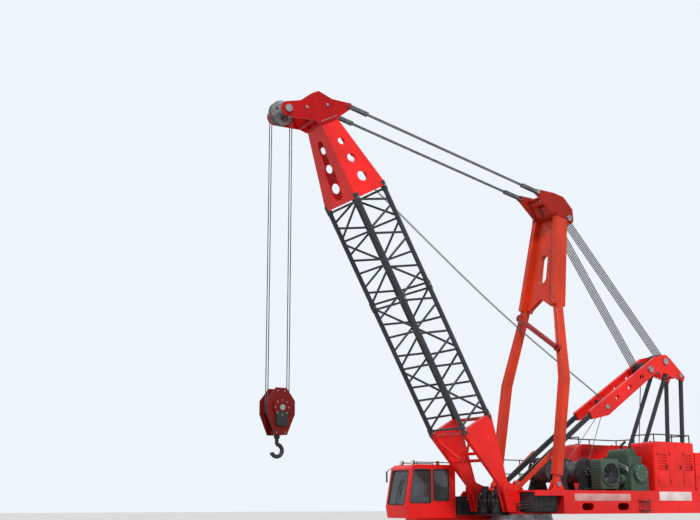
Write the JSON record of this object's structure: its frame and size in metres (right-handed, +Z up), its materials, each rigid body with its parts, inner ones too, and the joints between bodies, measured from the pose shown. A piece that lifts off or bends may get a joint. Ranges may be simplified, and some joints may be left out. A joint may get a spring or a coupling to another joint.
{
  "type": "crawler crane",
  "caption": "Crawler crane with a lattice boom, live mast, gantry, winches, hook block, rounded machinery houses and a side cab on a tracked base.",
  "frame": {"origin": "on the ground, in the middle of the outer box", "axes": "+Z up, the front faces -Y, +X is the crane's left side"},
  "size_m": [4.7, 15.284, 12.4738],
  "materials": {
    "red_paint": "gloss enamel",
    "orange_paint": "gloss enamel",
    "grey_paint": "satin enamel",
    "black_paint": "satin enamel",
    "green_paint": "satin enamel",
    "steel": "machined and oiled",
    "rope_steel": "galvanised wire rope",
    "track_steel": "cast and worn",
    "window_glass": "clear",
    "seat_leather": "black"
  },
  "bodies": {
    "crawler": {"carbody": "red_paint", "track_frame_left": "red_paint", "track_frame_right": "red_paint", "track_left": "track_steel", "track_right": "track_steel", "track_wheels_left": "steel", "track_wheels_right": "steel", "travel_drives": "black_paint", "slew_ring_lower": "steel"},
    "upper_works": {"slew_ring_upper": "steel", "deck": "red_paint", "house_left": "red_paint", "house_right": "red_paint", "counterweights": "red_paint", "power_unit": "green_paint", "silencer": "black_paint", "winch_frames": "black_paint", "gantry_arms": "red_paint", "gantry_legs": "black_paint", "front_brace": "orange_paint", "gantry_sheaves": "steel", "cab_shell": "red_paint", "cab_glass": "window_glass", "cab_seat": "seat_leather", "cab_console": "black_paint"},
    "sliding_door": {"cab_door": "red_paint", "door_glass": "window_glass"},
    "main_winch": {"main_drum": "steel"},
    "aux_winch": {"aux_drum": "steel"},
    "luff_winch": {"luff_drum": "steel"},
    "boom": {"boom_foot": "red_paint", "boom_insert_lower": "grey_paint", "boom_insert_upper": "grey_paint", "boom_head_section": "red_paint", "boom_head": "red_paint"},
    "tip_wheels": {"head_sheaves": "steel"},
    "live_mast": {"mast": "orange_paint", "mast_brace": "red_paint", "mast_head": "orange_paint", "mast_sheaves": "steel"},
    "stay_pair": {"pendants": "rope_steel"},
    "falls": {"hoist_falls": "rope_steel"},
    "lower_block": {"hook_block": "red_paint"},
    "block_wheels": {"block_sheaves": "black_paint"},
    "swivel_hook": {"hook": "black_paint"}
  },
  "joints": [
    {"name": "slew", "type": "hinge", "parent": "crawler", "child": "upper_works", "pos_m": [0, 0.71455, 1.19], "axis": [0, 0, 1], "continuous": true},
    {"name": "boom_luff", "type": "hinge", "parent": "upper_works", "child": "boom", "pos_m": [0, -0.48545, 2], "axis": [1, 0, 0], "range_deg": [-20, 30]},
    {"name": "mast_luff", "type": "hinge", "parent": "upper_works", "child": "live_mast", "pos_m": [0, 0.86455, 2.12], "axis": [1, 0, 0], "range_deg": [-21, 31.5]},
    {"name": "pendant_swing", "type": "hinge", "parent": "boom", "child": "stay_pair", "pos_m": [0, -5.38225, 12.24719], "axis": [1, 0, 0], "range_deg": [-6, 4]},
    {"name": "falls_plumb", "type": "hinge", "parent": "boom", "child": "falls", "pos_m": [0, -7.25195, 11.78682], "axis": [1, 0, 0], "range_deg": [-31, 21]},
    {"name": "hoist", "type": "slide", "parent": "falls", "child": "lower_block", "axis": [0, 0, 1], "range_m": [-2.3, 6], "deforming": ["hoist_falls"]},
    {"name": "hook_swivel", "type": "hinge", "parent": "lower_block", "child": "swivel_hook", "pos_m": [0, -7.25195, 3.33], "axis": [0, 0, 1], "continuous": true},
    {"name": "block_sheave_spin", "type": "hinge", "parent": "lower_block", "child": "block_wheels", "pos_m": [0, -7.25195, 3.95], "axis": [1, 0, 0], "continuous": true},
    {"name": "tip_sheave_spin", "type": "hinge", "parent": "boom", "child": "tip_wheels", "pos_m": [0, -7.25195, 11.78682], "axis": [1, 0, 0], "continuous": true},
    {"name": "main_drum_spin", "type": "hinge", "parent": "upper_works", "child": "main_winch", "pos_m": [0, 1.76455, 2.51], "axis": [1, 0, 0], "continuous": true},
    {"name": "aux_drum_spin", "type": "hinge", "parent": "upper_works", "child": "aux_winch", "pos_m": [0, 2.89455, 2.51], "axis": [1, 0, 0], "continuous": true},
    {"name": "luff_drum_spin", "type": "hinge", "parent": "upper_works", "child": "luff_winch", "pos_m": [0, 5.71455, 2.51], "axis": [1, 0, 0], "continuous": true},
    {"name": "door_slide", "type": "slide", "parent": "upper_works", "child": "sliding_door", "axis": [0, 1, 0], "range_m": [0, 0.7]}
  ],
  "couplings": [
    {"joint": "mast_luff", "follows": "boom_luff", "ratio": 1.03},
    {"joint": "pendant_swing", "follows": "boom_luff", "ratio": -0.19},
    {"joint": "falls_plumb", "follows": "boom_luff", "ratio": -1}
  ]
}
